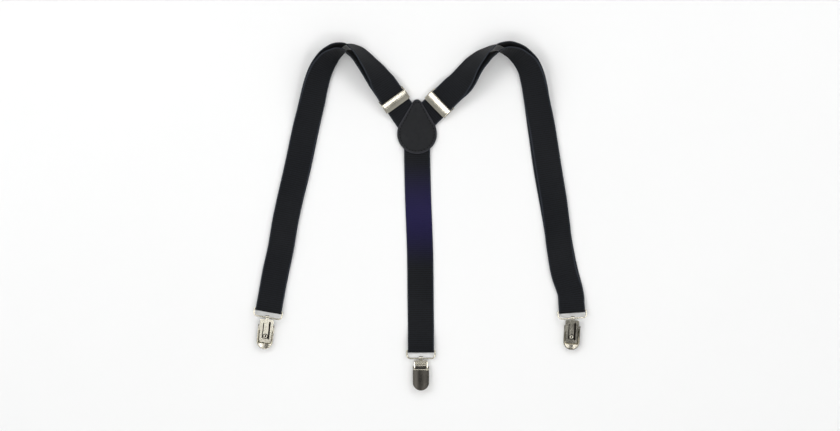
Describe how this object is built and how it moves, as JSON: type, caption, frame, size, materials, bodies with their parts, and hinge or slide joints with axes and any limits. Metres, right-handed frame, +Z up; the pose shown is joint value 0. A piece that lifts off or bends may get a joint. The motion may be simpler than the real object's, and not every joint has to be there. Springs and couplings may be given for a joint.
{
  "type": "suspenders",
  "caption": "Y-back clip-on suspenders of elastic webbing with a leather back patch, hinged adjusters and lever clips, laid flat with the front straps folded over",
  "frame": {"origin": "middle of the underside, on the surface that the suspenders lie on", "axes": "+Z up out of that surface, +Y towards the folded front straps, the back clip at -Y, +X to the right of someone looking at the outer face"},
  "size_m": [0.3184, 0.3318, 0.0263],
  "materials": {
    "webbing": "woven elastic, matt",
    "leather": "semi-matt pebbled, lighter bevelled rim",
    "nickel": "nickel plate, bright",
    "grip_plastic": "moulded"
  },
  "bodies": {
    "root": {"left_strap": "webbing", "right_strap": "webbing", "back_strap": "webbing", "patch_back": "leather", "patch_front": "leather"},
    "left_adjuster": {"left_adjuster_frame": "nickel", "left_adjuster_pin": "nickel", "left_strap_tail": "webbing"},
    "left_adjuster_flap": {"left_adjuster_cover": "nickel"},
    "right_adjuster": {"right_adjuster_frame": "nickel", "right_adjuster_pin": "nickel", "right_strap_tail": "webbing"},
    "right_adjuster_flap": {"right_adjuster_cover": "nickel"},
    "left_bail_ring": {"left_bail": "nickel"},
    "left_clip_body": {"left_clip_plate": "nickel", "left_clip_pin": "nickel", "left_clip_pad": "grip_plastic", "left_clip_rivet": "nickel"},
    "left_lever": {"left_clip_lever": "nickel"},
    "left_jaw": {"left_clip_jaw": "nickel"},
    "right_bail_ring": {"right_bail": "nickel"},
    "right_clip_body": {"right_clip_plate": "nickel", "right_clip_pin": "nickel", "right_clip_pad": "grip_plastic", "right_clip_rivet": "nickel"},
    "right_lever": {"right_clip_lever": "nickel"},
    "right_jaw": {"right_clip_jaw": "nickel"},
    "back_bail_ring": {"back_bail": "nickel"},
    "back_clip_body": {"back_clip_plate": "nickel", "back_clip_pin": "nickel", "back_clip_pad": "grip_plastic", "back_clip_rivet": "nickel"},
    "back_lever": {"back_clip_lever": "nickel"},
    "back_jaw": {"back_clip_jaw": "nickel"}
  },
  "joints": [
    {"name": "left_adjuster_slide", "type": "slide", "parent": "root", "child": "left_adjuster", "axis": [-0.552, 0.798, 0.2419], "range_m": [0, 0.005]},
    {"name": "left_adjuster_cover_hinge", "type": "hinge", "parent": "left_adjuster", "child": "left_adjuster_flap", "pos_m": [-0.02535, 0.11238, 0.00783], "axis": [-0.807, -0.5843, 0.0857], "range_deg": [0, 95]},
    {"name": "right_adjuster_slide", "type": "slide", "parent": "root", "child": "right_adjuster", "axis": [0.6977, 0.6856, 0.2079], "range_m": [0, 0.005]},
    {"name": "right_adjuster_cover_hinge", "type": "hinge", "parent": "right_adjuster", "child": "right_adjuster_flap", "pos_m": [0.01937, 0.10895, 0.00678], "axis": [-0.7009, 0.7133, 0], "range_deg": [0, 95]},
    {"name": "left_bail_swing", "type": "hinge", "parent": "root", "child": "left_bail_ring", "pos_m": [-0.14454, -0.08952, 0.00237], "axis": [-0.9848, 0.1736, 0], "range_deg": [-60, 60]},
    {"name": "left_clip_swing", "type": "hinge", "parent": "left_bail_ring", "child": "left_clip_body", "pos_m": [-0.14575, -0.09643, 0.00529], "axis": [-0.9848, 0.1736, 0], "range_deg": [-45, 45]},
    {"name": "left_lever_hinge", "type": "hinge", "parent": "left_clip_body", "child": "left_lever", "pos_m": [-0.1469, -0.10496, 0.0029], "axis": [0.9891, -0.104, -0.1045], "range_deg": [0, 100]},
    {"name": "left_jaw_hinge", "type": "hinge", "parent": "left_clip_body", "child": "left_jaw", "pos_m": [-0.1463, -0.1013, 0.00499], "axis": [0.9891, -0.104, -0.1045], "range_deg": [0, 7]},
    {"name": "right_bail_swing", "type": "hinge", "parent": "root", "child": "right_bail_ring", "pos_m": [0.14476, -0.09022, 0.00237], "axis": [-0.9976, -0.0698, 0], "range_deg": [-60, 60]},
    {"name": "right_clip_swing", "type": "hinge", "parent": "right_bail_ring", "child": "right_clip_body", "pos_m": [0.14525, -0.09715, 0.00546], "axis": [-0.9976, -0.0698, 0], "range_deg": [-45, 45]},
    {"name": "right_lever_hinge", "type": "hinge", "parent": "right_clip_body", "child": "right_lever", "pos_m": [0.14517, -0.10576, 0.00309], "axis": [0.9863, -0.0517, 0.1564], "range_deg": [0, 100]},
    {"name": "right_jaw_hinge", "type": "hinge", "parent": "right_clip_body", "child": "right_jaw", "pos_m": [0.14504, -0.10204, 0.00517], "axis": [0.9863, -0.0517, 0.1564], "range_deg": [0, 7]},
    {"name": "back_bail_swing", "type": "hinge", "parent": "root", "child": "back_bail_ring", "pos_m": [0.00066, -0.12802, 0.00237], "axis": [-1, 0, 0], "range_deg": [-60, 60]},
    {"name": "back_clip_swing", "type": "hinge", "parent": "back_bail_ring", "child": "back_clip_body", "pos_m": [0.00066, -0.13562, 0.00242], "axis": [-1, 0, 0], "range_deg": [-45, 45]},
    {"name": "back_lever_hinge", "type": "hinge", "parent": "back_clip_body", "child": "back_lever", "pos_m": [0.00066, -0.14422, 0.00482], "axis": [-1, 0, 0], "range_deg": [0, 100]},
    {"name": "back_jaw_hinge", "type": "hinge", "parent": "back_clip_body", "child": "back_jaw", "pos_m": [0.00066, -0.14052, 0.00272], "axis": [-1, 0, 0], "range_deg": [0, 7]}
  ],
  "couplings": [
    {"joint": "left_jaw_hinge", "follows": "left_lever_hinge", "ratio": 0.07},
    {"joint": "right_jaw_hinge", "follows": "right_lever_hinge", "ratio": 0.07},
    {"joint": "back_jaw_hinge", "follows": "back_lever_hinge", "ratio": 0.07}
  ]
}
